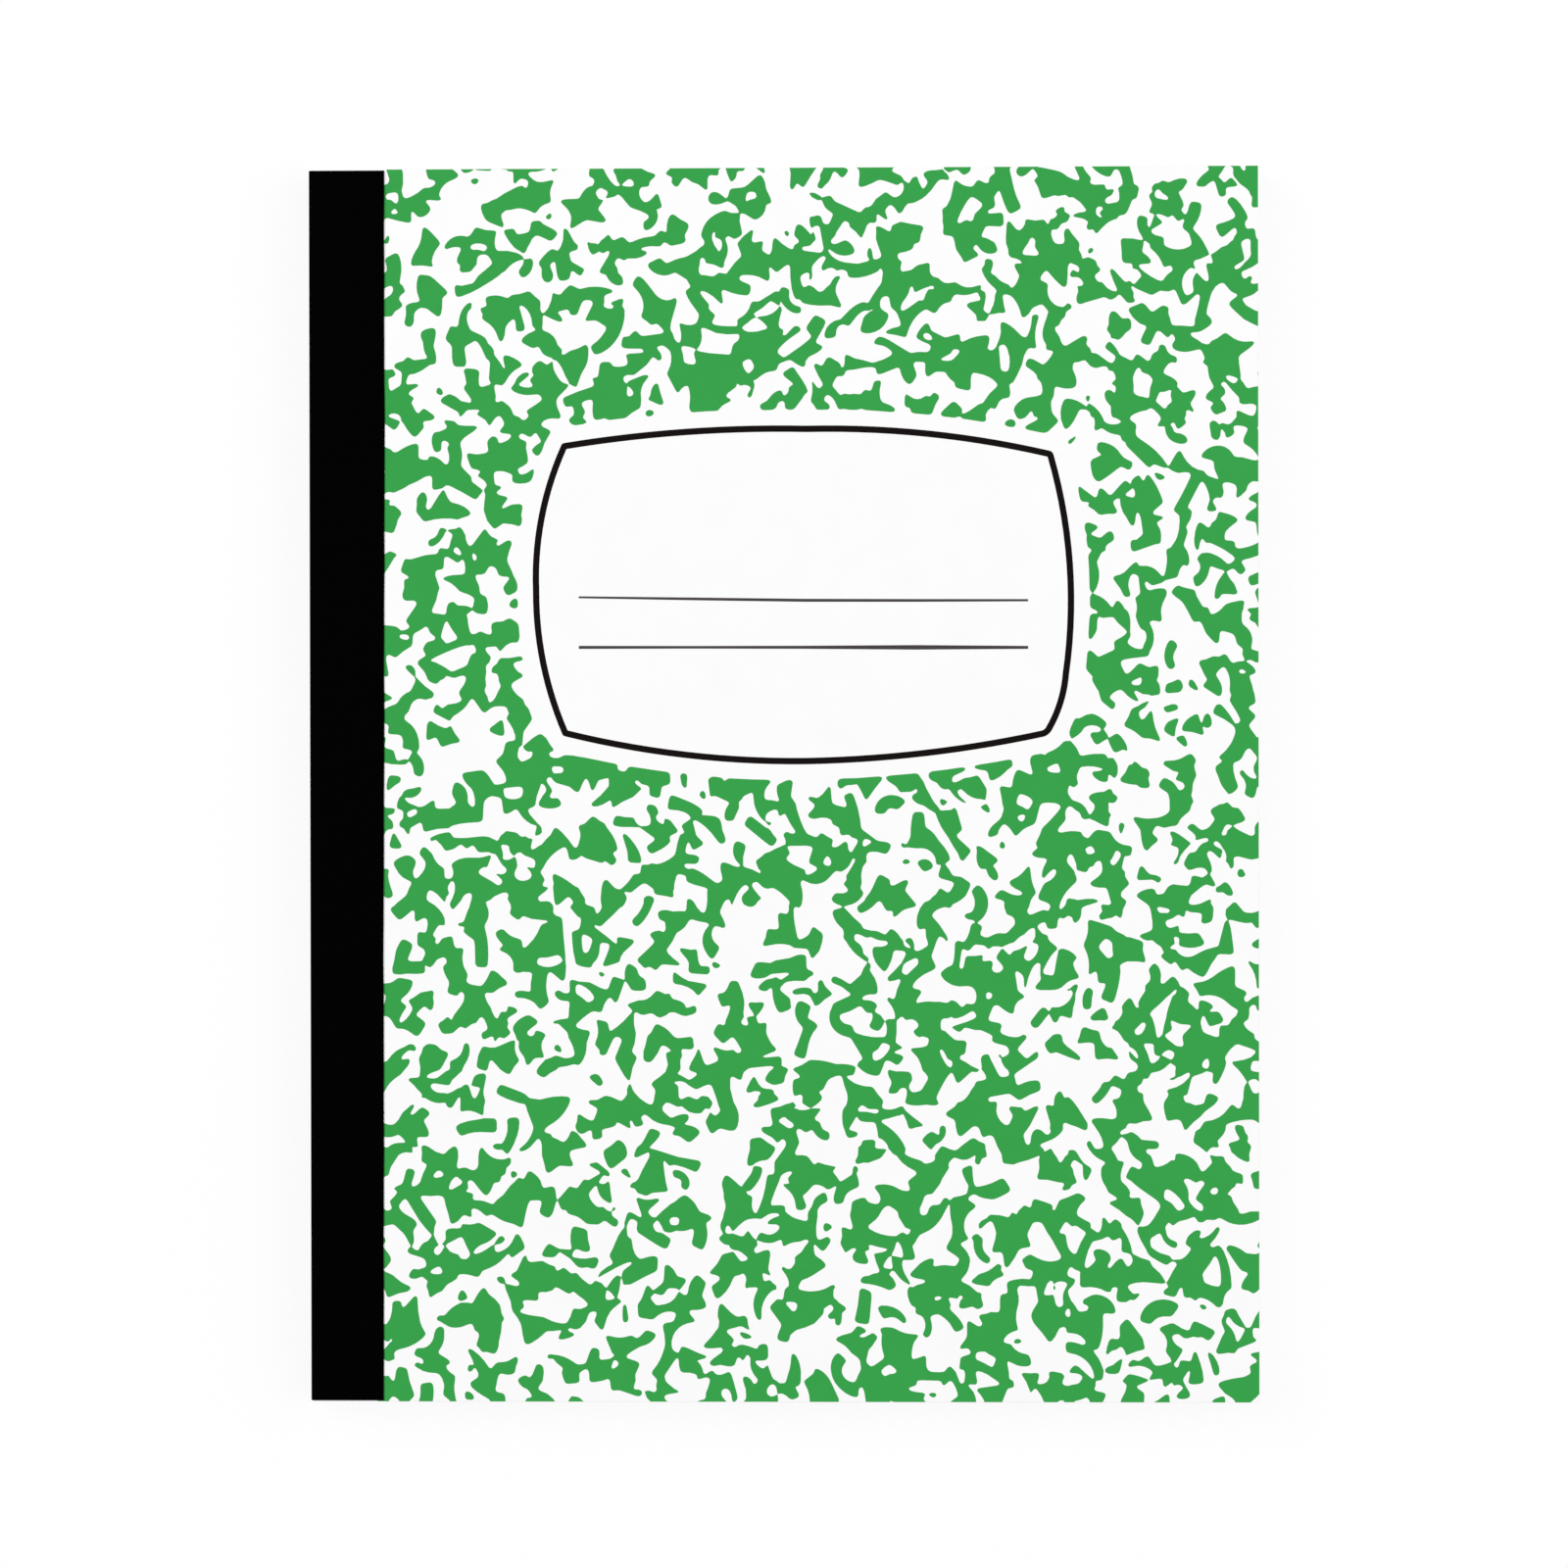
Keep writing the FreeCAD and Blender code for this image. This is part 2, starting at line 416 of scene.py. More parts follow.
def lofted(sections: list[np.ndarray],
           stations: list[float] | np.ndarray) -> tuple[np.ndarray, list[tuple[int, ...]]]:
    """Stretch a thin closed section along the spine, and close both ends across its thickness.

    Args:
        sections: One section to a station, as rows of x, z down its outer side and back up its inner one.
        stations: Where each section stands in y.

    Returns:
        The points, and the faces: those between the stations row by row, then the ends.
    """
    size = len(sections[0])
    rows = [np.column_stack([section[:, 0], np.full(size, y), section[:, 1]])
            for section, y in zip(sections, stations)]
    last = (len(rows) - 1) * size
    faces = []
    for base in range(0, last, size):
        for index in range(size):
            following = (index + 1) % size
            faces.append((base + index, base + size + index, base + size + following, base + following))
    for index in range(size // 2 - 1):
        across = size - 1 - index
        faces.append((index, index + 1, across - 1, across))
        faces.append((last + across, last + across - 1, last + index + 1, last + index))
    return np.concatenate(rows), faces


class FlakeKind(Enum):
    """The shapes that the marbled pattern is laid from."""

    STAR = auto()
    SHARD = auto()
    OVAL = auto()
    STRIP = auto()
    SPIKE = auto()


@dataclass(frozen=True)
class FlakeRow:
    """One kind of flake in a layer: how many to 1000 square millimetres, how large, and how they lie."""

    kind: FlakeKind
    per_1000: float
    size: tuple[float, float]
    width: tuple[float, float] = (0.0, 0.0)
    spread: float = 0.5
    always_ink: bool = False


@dataclass
class FlakeCutter:
    """Cuts the outlines of single flakes, each one different.

    A pair is the least and the most that chance picks. Tips, notches and reaches are shares of the
    flake's size, a swerve is a share of the way from corner to corner, and a bow is a share of its side.
    A shard's turn and a strip's bend and curl are radians.
    """

    rng: np.random.Generator
    star_tips: tuple[float, float] = (0.8, 1.4)
    star_notches: tuple[float, float] = (0.45, 0.8)
    star_swerve: float = 0.38
    star_stretch: tuple[float, float] = (0.75, 1.25)
    star_bows: tuple[float, float] = (-0.16, 0.12)
    shard_reach: tuple[float, float] = (0.6, 1.4)
    shard_turn: float = 0.5
    shard_flatness: float = 0.75
    shard_bows: tuple[float, float] = (-0.25, 0.2)
    oval_corners: int = 14
    oval_slimness: tuple[float, float] = (0.4, 0.85)
    oval_narrowing: tuple[float, float] = (0.0, 0.7)
    strip_stations: int = 9
    strip_bend: float = 1.8
    strip_curl: float = 1.0
    strip_swell: tuple[float, float] = (0.7, 1.4)
    strip_narrowing: tuple[float, float] = (0.0, 0.3)
    spike_narrowing: tuple[float, float] = (0.75, 0.95)

    def cut(self, row: FlakeRow) -> np.ndarray:
        """Cut one flake.

        Args:
            row: Its kind and sizes.

        Returns:
            Its outline round the origin, one row of x, y to a corner.
        """
        size = self.rng.uniform(*row.size)
        if row.kind is FlakeKind.STAR:
            return self.star(size)
        if row.kind is FlakeKind.SHARD:
            return self.shard(size)
        if row.kind is FlakeKind.OVAL:
            return self.oval(size)
        width = self.rng.uniform(*row.width)
        narrowing = self.spike_narrowing if row.kind is FlakeKind.SPIKE else self.strip_narrowing
        return self.strip(size, width, self.rng.uniform(*narrowing))

    def star(self, radius: float) -> np.ndarray:
        """Ragged star of three or four tips with bowed sides.

        Args:
            radius: Its mean reach.

        Returns:
            Its outline.
        """
        count = 2 * int(self.rng.integers(3, 5))
        turns = np.linspace(0, math.tau, count, endpoint=False)
        turns += self.rng.uniform(-self.star_swerve, self.star_swerve, count) * math.tau / count
        tips = self.rng.uniform(*self.star_tips, count)
        notches = self.rng.uniform(*self.star_notches, count)
        reach = radius * np.where(np.arange(count) % 2 == 0, tips, notches)
        points = np.stack([reach * np.cos(turns), reach * np.sin(turns)], 1)
        points *= self.rng.uniform(*self.star_stretch, 2)
        return self.bowed(self.turned(points), self.rng.uniform(*self.star_bows, count))

    def shard(self, radius: float) -> np.ndarray:
        """Splinter of three or four bowed sides.

        Args:
            radius: Its mean reach.

        Returns:
            Its outline.
        """
        count = int(self.rng.integers(3, 5))
        turns = np.linspace(0, math.tau, count, endpoint=False)
        turns += self.rng.uniform(-self.shard_turn, self.shard_turn, count)
        reach = radius * self.rng.uniform(*self.shard_reach, count)
        points = np.stack([reach * np.cos(turns), self.shard_flatness * reach * np.sin(turns)], 1)
        return self.bowed(self.turned(points), self.rng.uniform(*self.shard_bows, count))

    def oval(self, radius: float) -> np.ndarray:
        """Drop, narrower at one end.

        Args:
            radius: Half its length.

        Returns:
            Its outline.
        """
        turns = np.linspace(0, math.tau, self.oval_corners, endpoint=False)
        slimness = self.rng.uniform(*self.oval_slimness)
        points = np.stack([radius * np.cos(turns), slimness * radius * np.sin(turns)], 1)
        points[:, 1] *= 1 - self.rng.uniform(*self.oval_narrowing) * points[:, 0] / radius
        return self.turned(points)

    def strip(self, length: float, width: float, narrowing: float) -> np.ndarray:
        """Curved strip, straight-ended or drawn out to a point.

        Args:
            length: Its length along the curve.
            width: Its mean width.
            narrowing: Share of its width that it loses towards its far end.

        Returns:
            Its outline.
        """
        along = np.linspace(0, 1, self.strip_stations)
        heading = self.rng.uniform(-self.strip_bend, self.strip_bend) * along
        heading += self.rng.uniform(-self.strip_curl, self.strip_curl) * along ** 2
        step = length / (len(along) - 1)
        middle = np.cumsum(np.stack([np.cos(heading), np.sin(heading)], 1) * step, 0)
        middle -= middle.mean(0)
        across = np.stack([-np.sin(heading), np.cos(heading)], 1)
        swell = self.rng.uniform(*self.strip_swell)
        half = width / 2 * (1 + (swell - 1) * np.sin(math.pi * along))
        half = (half * (1 - narrowing * along ** 1.4))[:, None]
        return self.turned(np.concatenate([middle + across * half, (middle - across * half)[::-1]]))

    def turned(self, points: np.ndarray) -> np.ndarray:
        """The same outline, turned by any angle."""
        turn = self.rng.uniform(0, math.tau)
        return points @ np.array([[math.cos(turn), math.sin(turn)], [-math.sin(turn), math.cos(turn)]])

    def bowed(self, points: np.ndarray, bows: np.ndarray) -> np.ndarray:
        """Bow the sides of an outline.

        Args:
            points: Its corners.
            bows: Rise of each side, as a share of the side's length.

        Returns:
            The outline with three more points on each side.
        """
        side = np.roll(points, -1, 0) - points
        outward = np.stack([side[:, 1], -side[:, 0]], 1)
        stations = []
        for share in (0.0, 0.25, 0.5, 0.75):
            rise = (bows * 4 * share * (1 - share))[:, None]
            stations.append(points + side * share + outward * rise)
        return np.stack(stations, 1).reshape(-1, 2)


# Balances of InkGrid.lay that ink a flake, or leave it bare, whatever lies under it.
ALWAYS_INK = 2.0
NEVER_INK = -1.0

# Ways through a grid cell with the ink on the left, for each set of inked corners and for a bare or an
# inked middle. Corners count 1, 2, 4, 8 from the lower left one round, and sides run from the bottom.
BOTTOM, RIGHT, TOP, LEFT = range(4)
CELL_PATHS = {
    (number, joined): paths
    for number, paths in {
        1: [(BOTTOM, LEFT)], 2: [(RIGHT, BOTTOM)], 3: [(RIGHT, LEFT)], 4: [(TOP, RIGHT)],
        6: [(TOP, BOTTOM)], 7: [(TOP, LEFT)], 8: [(LEFT, TOP)], 9: [(BOTTOM, TOP)],
        11: [(RIGHT, TOP)], 12: [(LEFT, RIGHT)], 13: [(BOTTOM, RIGHT)], 14: [(LEFT, BOTTOM)],
    }.items()
    for joined in (False, True)
}
CELL_PATHS[5, False] = [(BOTTOM, LEFT), (TOP, RIGHT)]
CELL_PATHS[5, True] = [(BOTTOM, RIGHT), (TOP, LEFT)]
CELL_PATHS[10, False] = [(RIGHT, BOTTOM), (LEFT, TOP)]
CELL_PATHS[10, True] = [(LEFT, BOTTOM), (RIGHT, TOP)]


@dataclass
class InkGrid:
    """How much ink lies at each point of a sheet, 0 to 1, on a square grid."""

    low: tuple[float, float]
    high: tuple[float, float]
    cell: float
    ink: np.ndarray = field(init=False)

    def __post_init__(self) -> None:
        """Start with a bare sheet."""
        wide = math.ceil((self.high[0] - self.low[0]) / self.cell) + 1
        tall = math.ceil((self.high[1] - self.low[1]) / self.cell) + 1
        self.ink = np.zeros((tall, wide), np.float32)

    def window(self, outline: np.ndarray, axis: int) -> tuple[int, int]:
        """Grid lines that an outline reaches.

        Args:
            outline: The outline.
            axis: 0 for x, 1 for y.

        Returns:
            First line, and one past the last.
        """
        first = (outline[:, axis].min() - self.low[axis]) / self.cell - 1
        last = (outline[:, axis].max() - self.low[axis]) / self.cell + 2
        return max(int(first), 0), min(int(last) + 1, self.ink.shape[1 - axis])

    def cover(self, outline: np.ndarray, columns: tuple[int, int], rows: tuple[int, int]) -> np.ndarray:
        """Share of each grid cell that an outline covers.

        Args:
            outline: The outline.
            columns: First grid column and one past the last.
            rows: First grid row and one past the last.

        Returns:
            The shares, softened over one cell at the outline.
        """
        x = (np.arange(*columns, dtype=np.float32) * self.cell + self.low[0])[None, :, None]
        y = (np.arange(*rows, dtype=np.float32) * self.cell + self.low[1])[:, None, None]
        start = outline.astype(np.float32)
        end = np.roll(start, -1, 0)
        (ax, ay), (bx, by) = start.T, end.T
        ex, ey = bx - ax, by - ay
        dx, dy = x - ax, y - ay
        share = np.clip((dx * ex + dy * ey) / np.maximum(ex * ex + ey * ey, 1e-9), 0, 1)
        near = np.sqrt(((dx - share * ex) ** 2 + (dy - share * ey) ** 2).min(2))
        side = dx * ey - dy * ex
        rising = ((ay <= y) & (by > y) & (side < 0)).sum(2)
        falling = ((ay > y) & (by <= y) & (side > 0)).sum(2)
        signed = np.where(rising != falling, near, -near)
        return np.clip(signed / self.cell + 0.5, 0, 1)

    def lay(self, outline: np.ndarray, balance: float, agrees: bool) -> None:
        """Lay a flake in the colour that stands out from what is under it, or in the other one.

        Args:
            outline: The flake's outline.
            balance: Mean ink under the flake below which it is inked.
            agrees: False for the colour that stands out less.
        """
        columns, rows = self.window(outline, 0), self.window(outline, 1)
        if columns[1] - columns[0] < 2 or rows[1] - rows[0] < 2:
            return
        cover = self.cover(outline, columns, rows)
        patch = self.ink[rows[0]:rows[1], columns[0]:columns[1]]
        under = float((patch * cover).sum() / max(cover.sum(), 1e-6))
        inked = (under < balance) == agrees
        patch += (float(inked) - patch) * cover

    def blurred(self, reach: float) -> np.ndarray:
        """Ink as it looks from further off.

        Args:
            reach: Standard deviation of the blur.

        Returns:
            The blurred ink.
        """
        spread = reach / self.cell
        half = math.ceil(3 * spread)
        weights = np.exp(-0.5 * (np.arange(-half, half + 1) / spread) ** 2).astype(np.float32)
        weights /= weights.sum()
        ink = self.ink
        for _ in range(2):
            padded = np.pad(ink, ((half, half), (0, 0)), mode="edge")
            total = np.zeros_like(ink)
            for shift, weight in enumerate(weights):
                total += weight * padded[shift:shift + len(ink)]
            ink = np.ascontiguousarray(total.T)
        return ink

    def even_out(self, near: float, wide: float, pull: float, mean: float) -> None:
        """Round the corners as print does, and thin the pattern where it is crowded.

        Args:
            near: Standard deviation of the blur that rounds corners.
            wide: Standard deviation of the blur that finds crowded places.
            pull: How much of the crowding is taken off.
            mean: Share of ink that isn't crowded.
        """
        self.ink = self.blurred(near) - pull * (self.blurred(wide) - mean)

    @staticmethod
    def crossed(here: np.ndarray, there: np.ndarray) -> np.ndarray:
        """How far the ink's edge lies from one grid point towards the next, as a share of the cell."""
        step = there - here
        return (0.5 - here) / np.where(step == 0, 1, step)

    def loops(self) -> list[np.ndarray]:
        """Outlines of the inked areas and of the bare ones within them.

        Returns:
            Closed outlines, with the ink on the left of each.
        """
        ink = np.pad(self.ink, 1)
        tall, wide = ink.shape
        x, y = np.meshgrid(np.arange(wide), np.arange(tall))
        flat = np.stack([x[:, :-1] + self.crossed(ink[:, :-1], ink[:, 1:]), y[:, :-1]], 2)
        steep = np.stack([x[:-1], y[:-1] + self.crossed(ink[:-1], ink[1:])], 2)
        crossings = np.concatenate([flat.reshape(-1, 2), steep.reshape(-1, 2)])

        corners = (ink[:-1, :-1], ink[:-1, 1:], ink[1:, 1:], ink[1:, :-1])
        code = sum(2 ** number * (corner > 0.5) for number, corner in enumerate(corners))
        middle = sum(corners) / 4 > 0.5
        row, column = np.nonzero((code > 0) & (code < 15))
        code, middle = code[row, column], middle[row, column]
        bottom = row * (wide - 1) + column
        left = tall * (wide - 1) + row * wide + column
        sides = np.stack([bottom, left + 1, bottom + wide - 1, left], 1)
        follows = np.full(len(crossings), -1)
        for (number, joined), paths in CELL_PATHS.items():
            found = (code == number) & (middle == joined)
            for leave, enter in paths:
                follows[sides[found, leave]] = sides[found, enter]
        return self.linked(crossings, follows)

    def linked(self, crossings: np.ndarray, follows: np.ndarray) -> list[np.ndarray]:
        """String crossings together into closed outlines.

        Args:
            crossings: Grid places of the crossings.
            follows: Number of the crossing after each one, or -1.

        Returns:
            The outlines, in millimetres.
        """
        after = follows.tolist()
        origin = np.array(self.low) - self.cell
        outlines = []
        for start in np.nonzero(follows >= 0)[0].tolist():
            if after[start] < 0:
                continue
            chain = []
            here = start
            while after[here] >= 0:
                chain.append(here)
                following = after[here]
                after[here] = -1
                here = following
            outlines.append(crossings[chain] * self.cell + origin)
        return outlines


def area_of(outline: np.ndarray) -> float:
    """Area inside an outline, below zero if it runs clockwise."""
    x, y = outline.T
    return 0.5 * float(np.dot(x, np.roll(y, -1)) - np.dot(y, np.roll(x, -1)))


def simplified(outline: np.ndarray, tolerance: float) -> np.ndarray:
    """Drop the points that an outline can spare.

    Args:
        outline: Closed outline.
        tolerance: How far the result may leave it.

    Returns:
        The outline of the points that stay.
    """
    far = int(((outline - outline[0]) ** 2).sum(1).argmax())
    ring = np.concatenate([outline, outline[:1]])
    keep = {0, far}
    waiting = [(0, far), (far, len(outline))]
    while waiting:
        first, last = waiting.pop()
        if last - first < 2:
            continue
        chord = ring[last] - ring[first]
        length = math.hypot(*chord)
        offset = ring[first + 1:last] - ring[first]
        if length > 1e-9:
            away = np.abs(offset[:, 0] * chord[1] - offset[:, 1] * chord[0]) / length
        else:
            away = np.hypot(offset[:, 0], offset[:, 1])
        worst = int(away.argmax())
        if away[worst] > tolerance:
            middle = first + 1 + worst
            keep.add(middle)
            waiting += [(first, middle), (middle, last)]
    return outline[sorted(keep)]


@dataclass
class Marbling:
    """Two-coloured marbled pattern: cut flakes laid on each other in four layers."""

    seed: int
    low: tuple[float, float] = (FOLD_X - 1.0, -HALF_HEIGHT - 1.0)
    high: tuple[float, float] = (FORE_EDGE_X + 1.0, HALF_HEIGHT + 1.0)
    cell: float = 0.22
    balance: float = 0.6
    contrast: float = 0.86
    softness: float = 0.4
    crowd_reach: float = 2.3
    evenness: float = 0.6
    mean_ink: float = 0.567
    tolerance: float = 0.035
    smallest: float = 0.7
    layers: tuple[tuple[FlakeRow, ...], ...] = (
        (FlakeRow(FlakeKind.STAR, 8.6, (3.6, 5.4), spread=0.35, always_ink=True),),
        (FlakeRow(FlakeKind.STAR, 4.9, (3.0, 4.5)),
         FlakeRow(FlakeKind.SHARD, 4.8, (2.5, 4.0)),
         FlakeRow(FlakeKind.STRIP, 11.1, (5.4, 10.8), (2.0, 3.2))),
        (FlakeRow(FlakeKind.SPIKE, 7.4, (4.5, 8.5), (2.0, 3.0)),
         FlakeRow(FlakeKind.STRIP, 8.6, (3.6, 7.2), (1.6, 2.5))),
        (FlakeRow(FlakeKind.OVAL, 1.7, (1.3, 2.1)),
         FlakeRow(FlakeKind.STRIP, 1.5, (3.2, 5.7), (1.1, 1.5))),
    )

    def places(self, rng: np.random.Generator, row: FlakeRow) -> np.ndarray:
        """Scatter one kind of flake over the sheet.

        Args:
            rng: Source of chance.
            row: The kind of flake.

        Returns:
            One row of x, y to a flake.
        """
        pitch = math.sqrt(1000 / row.per_1000)
        counts = [int((self.high[i] - self.low[i]) / pitch) + 3 for i in (0, 1)]
        corner = np.array(self.low) + rng.uniform(-1, 0, 2) * pitch
        column, line = (grid.ravel() for grid in np.meshgrid(*map(np.arange, counts)))
        places = np.stack([column + 0.5 * (line % 2), line], 1) * pitch + corner
        return places + rng.uniform(-row.spread, row.spread, places.shape) * pitch

    def outlines(self, bare: np.ndarray | None = None) -> list[np.ndarray]:
        """Lay the pattern and trace it.

        Args:
            bare: Outline of a place that the pattern leaves bare, if there is one.

        Returns:
            Closed outlines, which change the colour each time one is crossed from the bare sheet.
        """
        rng = np.random.default_rng(self.seed)
        cutter = FlakeCutter(rng)
        grid = InkGrid(self.low, self.high, self.cell)
        for layer in self.layers:
            todo = [(row, place) for row in layer for place in self.places(rng, row)]
            for number in rng.permutation(len(todo)):
                row, place = todo[number]
                outline = cutter.cut(row) + place
                agrees = rng.random() < self.contrast
                if row.always_ink:
                    grid.lay(outline, ALWAYS_INK, True)
                else:
                    grid.lay(outline, self.balance, agrees)
        if bare is not None:
            grid.lay(bare, NEVER_INK, True)
        grid.even_out(self.softness, self.crowd_reach, self.evenness, self.mean_ink)
        traced = [simplified(loop, self.tolerance) for loop in grid.loops()
                  if abs(area_of(loop)) > self.smallest]
        return [loop for loop in traced if len(loop) > 2]


@dataclass
class Label:
    """Label of the front cover: a white field, a frame with four bowed sides and two lines to write on.

    Each side is two arcs along the middle of the frame's stroke. The joints run anticlockwise from the
    upper left corner, every other one within a side, and each arc starts at the joint of its number and
    bows out by its rise. Each joint has a radius in rounds, or 0 where it is sharp or smooth by itself.
    """

    joints: tuple[tuple[float, float], ...] = (
        (-43.73, 67.96), (-49.43, 39.0), (-43.63, 10.5), (4.8, 4.82),
        (52.65, 10.39), (56.54, 22.0), (53.47, 66.08), (4.8, 71.27))
    rises: tuple[float, ...] = (1.73, 1.51, 1.55, 1.17, 0.73, 2.36, 1.54, 1.11)
    rounds: tuple[float, ...] = (0.1, 0.0, 0.1, 0.0, 2.0, 0.0, 0.5, 0.0)
    stroke: float = 1.3
    margin: float = 3.3
    arc_steps: int = 14
    corner_steps: int = 6
    line_left: float = -40.9
    line_right: float = 49.05
    line_heights: tuple[tuple[float, ...], ...] = (
        (37.7, 37.33, 36.99, 36.91, 36.9), (27.67, 27.64, 27.59, 27.53, 27.47))
    line_widths: tuple[tuple[float, ...], ...] = (
        (0.4, 0.56, 0.61, 0.57, 0.46), (0.62, 0.53, 0.62, 0.92, 0.6))

    def circle(self, number: int) -> tuple[np.ndarray, float]:
        """Circle that one arc lies on.

        Args:
            number: Number of the arc.

        Returns:
            Its centre and radius.
        """
        number %= len(self.joints)
        start, end = np.array(self.joints[number]), np.array(self.joints[(number + 1) % len(self.joints)])
        half = (end - start) / 2
        length, rise = math.hypot(*half), self.rises[number]
        radius = (length ** 2 + rise ** 2) / (2 * rise)
        inward = np.array([-half[1], half[0]]) / length
        return (start + end) / 2 + inward * (radius - rise), radius

    def meet(self, number: int, offset: float) -> np.ndarray:
        """Point where the two arcs at a joint meet once both are moved outward.

        Args:
            number: Number of the joint.
            offset: Distance outward.

        Returns:
            The point.
        """
        (c1, r1), (c2, r2) = self.circle(number - 1), self.circle(number)
        r1, r2 = r1 + offset, r2 + offset
        gap = math.hypot(*(c2 - c1))
        along = (gap ** 2 + r1 ** 2 - r2 ** 2) / (2 * gap)
        line = (c2 - c1) / gap
        aside = np.array([-line[1], line[0]]) * math.sqrt(max(r1 ** 2 - along ** 2, 0))
        found = (c1 + line * along + aside, c1 + line * along - aside)
        return min(found, key=lambda point: math.hypot(*(point - np.array(self.joints[number]))))

    def outline(self, offset: float) -> np.ndarray:
        """Outline parallel to the middle of the frame's stroke.

        Args:
            offset: Distance outward.

        Returns:
            The closed outline, anticlockwise.
        """
        ends = []
        for number, rounding in enumerate(self.rounds):
            if rounding and rounding + offset > 0:
                pivot = self.meet(number, -rounding)
                touches = []
                for centre, radius in (self.circle(number - 1), self.circle(number)):
                    towards = (pivot - centre) / math.hypot(*(pivot - centre))
                    touches.append(centre + towards * (radius + offset))
                ends.append((pivot, *touches))
            else:
                point = self.meet(number, offset)
                ends.append((None, point, point))
        points = []
        for number, (pivot, arriving, leaving) in enumerate(ends):
            if pivot is not None:
                points += self.arc(pivot, arriving, leaving, self.corner_steps)
            following = ends[(number + 1) % len(ends)][1]
            points += self.arc(self.circle(number)[0], leaving, following, self.arc_steps)
        return np.array(points)

    @staticmethod
    def arc(centre: np.ndarray, start: np.ndarray, end: np.ndarray, steps: int) -> list[np.ndarray]:
        """Points along an arc, anticlockwise, without its last one.

        Args:
            centre: Its centre.
            start: Its first point.
            end: Its last point.
            steps: How many pieces it is cut into.

        Returns:
            The points.
        """
        first, last = start - centre, end - centre
        turn = math.atan2(first[1], first[0])
        sweep = (math.atan2(last[1], last[0]) - turn) % math.tau
        radius = math.hypot(*first)
        turns = [turn + sweep * step / steps for step in range(steps)]
        return [centre + radius * np.array([math.cos(t), math.sin(t)]) for t in turns]

    def field(self) -> np.ndarray:
        """Outline of the white field."""
        return self.outline(self.stroke / 2 + self.margin)

    def lines(self) -> list[np.ndarray]:
        """Outlines of the lines to write on, from their heights and widths at even stations.

        Returns:
            One closed outline to a line.
        """
        outlines = []
        for heights, widths in zip(self.line_heights, self.line_widths):
            x = np.linspace(self.line_left, self.line_right, len(heights))
            middle, half = np.array(heights), np.array(widths) / 2
            lower, upper = np.column_stack([x, middle - half]), np.column_stack([x, middle + half])
            outlines.append(np.concatenate([lower, upper[::-1]]))
        return outlines


class Print(Enum):
    """What covers a face of a board."""

    WHITE = 0
    GREEN = 1
    BLACK = 2
    GREY = 3
    CORE = 4
    LINING = 5


